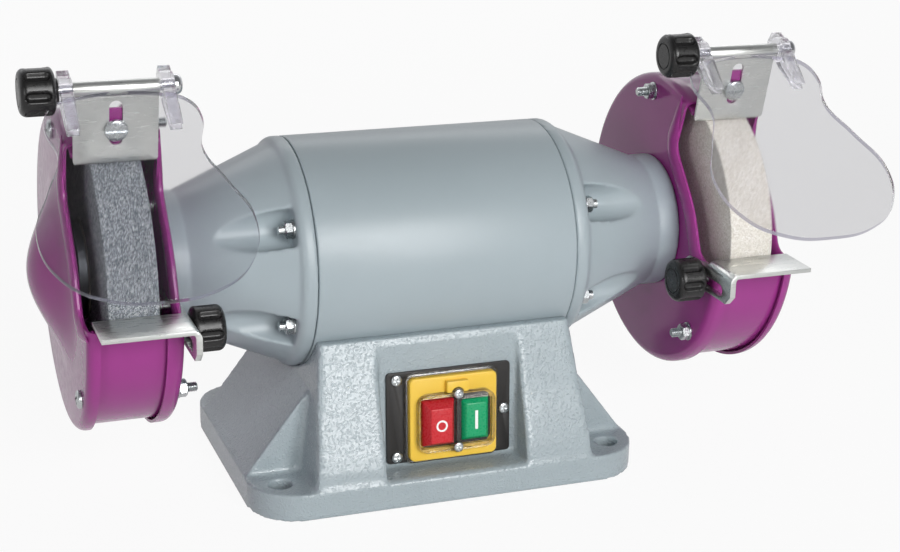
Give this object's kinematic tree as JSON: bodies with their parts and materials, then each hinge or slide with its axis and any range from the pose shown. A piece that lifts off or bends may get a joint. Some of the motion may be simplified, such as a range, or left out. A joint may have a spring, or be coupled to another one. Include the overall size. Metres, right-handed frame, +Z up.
{
  "type": "bench grinder",
  "caption": "Double-ended bench grinder: cast pedestal with push-button switch, motor on a saddle, guarded grinding wheels, adjustable tool rests, spark deflectors and tilting clear eye shields",
  "frame": {"origin": "centre of the bench-bolt pattern on the underside of the foot", "axes": "+X along the spindle to the right as seen from the front, +Y to the back, +Z up"},
  "size_m": [0.4326, 0.2428, 0.2359],
  "materials": {
    "cast_paint": "hammered grey-blue paint on a casting",
    "barrel_paint": "smooth satin grey-blue paint",
    "guard_paint": "gloss purple paint",
    "zinc": "bright zinc plate",
    "bright_steel": "bright zinc-plated fasteners",
    "chromed_rod": "polished",
    "ground_steel": "ground",
    "grey_abrasive": "coarse vitrified grey grain",
    "white_abrasive": "fine vitrified white grain",
    "paper": "pressed paper",
    "clear_sheet": "clear polycarbonate",
    "clear_clip": "clear moulded plastic",
    "black_knob": "semi-gloss black",
    "black_plate": "satin black",
    "yellow_plastic": "semi-gloss yellow",
    "red_plastic": "semi-gloss red",
    "green_plastic": "semi-gloss green",
    "lamination": "stacked steel sheet",
    "copper": "varnished copper wire",
    "gland_plastic": "satin black"
  },
  "bodies": {
    "frame": {"bearing_outer_rings": "ground_steel", "bottom_plate": "zinc", "bottom_plate_screws": "bright_steel", "cable_gland": "gland_plastic", "capacitor": "black_knob", "cover_screws": "bright_steel", "deflector_nuts": "bright_steel", "deflector_screws": "bright_steel", "guard_bolts": "bright_steel", "guard_mount_screws": "bright_steel", "guard_nuts": "bright_steel", "guard_washers": "bright_steel", "left_end_bell": "cast_paint", "left_guard_back": "guard_paint", "left_guard_band": "guard_paint", "left_guard_cover": "guard_paint", "motor_barrel": "barrel_paint", "pedestal": "cast_paint", "rest_studs": "bright_steel", "right_end_bell": "cast_paint", "right_guard_back": "guard_paint", "right_guard_band": "guard_paint", "right_guard_cover": "guard_paint", "saddle_bolts": "bright_steel", "stator_core": "lamination", "stator_windings": "copper", "switch_contact_block": "black_knob", "switch_cover": "clear_clip", "switch_cover_screws": "bright_steel", "switch_housing": "yellow_plastic", "switch_plate": "black_plate", "switch_plate_screws": "bright_steel", "tie_rod_nuts": "bright_steel", "tie_rods": "bright_steel"},
    "spindle": {"shaft": "ground_steel", "rotor": "lamination", "bearing_inner_rings": "ground_steel", "bearing_balls": "ground_steel", "left_wheel": "grey_abrasive", "right_wheel": "white_abrasive", "wheel_blotters": "paper", "inner_wheel_flanges": "ground_steel", "outer_wheel_flanges": "ground_steel", "wheel_nuts": "bright_steel"},
    "stop_press_button": {"stop_button": "red_plastic"},
    "start_press_button": {"start_button": "green_plastic"},
    "left_rest": {"left_tool_rest": "zinc"},
    "left_rest_clamp": {"left_rest_knob": "black_knob"},
    "left_deflector": {"left_deflector_plate": "zinc", "left_shield_rod": "chromed_rod"},
    "left_eye_shield": {"left_shield": "clear_sheet", "left_shield_clips": "clear_clip"},
    "left_shield_clamp": {"left_shield_knob": "black_knob"},
    "right_rest": {"right_tool_rest": "zinc"},
    "right_rest_clamp": {"right_rest_knob": "black_knob"},
    "right_deflector": {"right_deflector_plate": "zinc", "right_shield_rod": "chromed_rod"},
    "right_eye_shield": {"right_shield": "clear_sheet", "right_shield_clips": "clear_clip"},
    "right_shield_clamp": {"right_shield_knob": "black_knob"}
  },
  "joints": [
    {"name": "spindle_turn", "type": "hinge", "parent": "frame", "child": "spindle", "pos_m": [0, 0, 0.12], "axis": [1, 0, 0], "continuous": true},
    {"name": "stop_press", "type": "slide", "parent": "frame", "child": "stop_press_button", "axis": [0, 0.9979, -0.0645], "range_m": [0, 0.0035], "stiffness_N_per_m": 500, "springref_m": -0.002},
    {"name": "start_press", "type": "slide", "parent": "frame", "child": "start_press_button", "axis": [0, 0.9979, -0.0645], "range_m": [0, 0.003], "stiffness_N_per_m": 500, "springref_m": -0.002},
    {"name": "left_rest_slide", "type": "slide", "parent": "frame", "child": "left_rest", "axis": [0, 1, 0], "range_m": [-0.014, 0.001]},
    {"name": "left_rest_knob_turn", "type": "hinge", "parent": "frame", "child": "left_rest_clamp", "pos_m": [-0.13, -0.07, 0.107], "axis": [1, 0, 0], "continuous": true},
    {"name": "left_deflector_slide", "type": "slide", "parent": "frame", "child": "left_deflector", "axis": [0, -0.2334, 0.9724], "range_m": [-0.0008, 0.004]},
    {"name": "left_shield_tilt", "type": "hinge", "parent": "left_deflector", "child": "left_eye_shield", "pos_m": [-0.1665, -0.04792, 0.22436], "axis": [-1, 0, 0], "range_deg": [-19, 95]},
    {"name": "left_shield_knob_turn", "type": "hinge", "parent": "left_deflector", "child": "left_shield_clamp", "pos_m": [-0.2065, -0.04792, 0.22436], "axis": [1, 0, 0], "continuous": true},
    {"name": "right_rest_slide", "type": "slide", "parent": "frame", "child": "right_rest", "axis": [0, 1, 0], "range_m": [-0.014, 0.001]},
    {"name": "right_rest_knob_turn", "type": "hinge", "parent": "frame", "child": "right_rest_clamp", "pos_m": [0.13, -0.07, 0.107], "axis": [1, 0, 0], "continuous": true},
    {"name": "right_deflector_slide", "type": "slide", "parent": "frame", "child": "right_deflector", "axis": [0, -0.2334, 0.9724], "range_m": [-0.0008, 0.004]},
    {"name": "right_shield_tilt", "type": "hinge", "parent": "right_deflector", "child": "right_eye_shield", "pos_m": [0.1665, -0.04792, 0.22436], "axis": [-1, 0, 0], "range_deg": [-19, 95]},
    {"name": "right_shield_knob_turn", "type": "hinge", "parent": "right_deflector", "child": "right_shield_clamp", "pos_m": [0.1265, -0.04792, 0.22436], "axis": [1, 0, 0], "continuous": true}
  ]
}
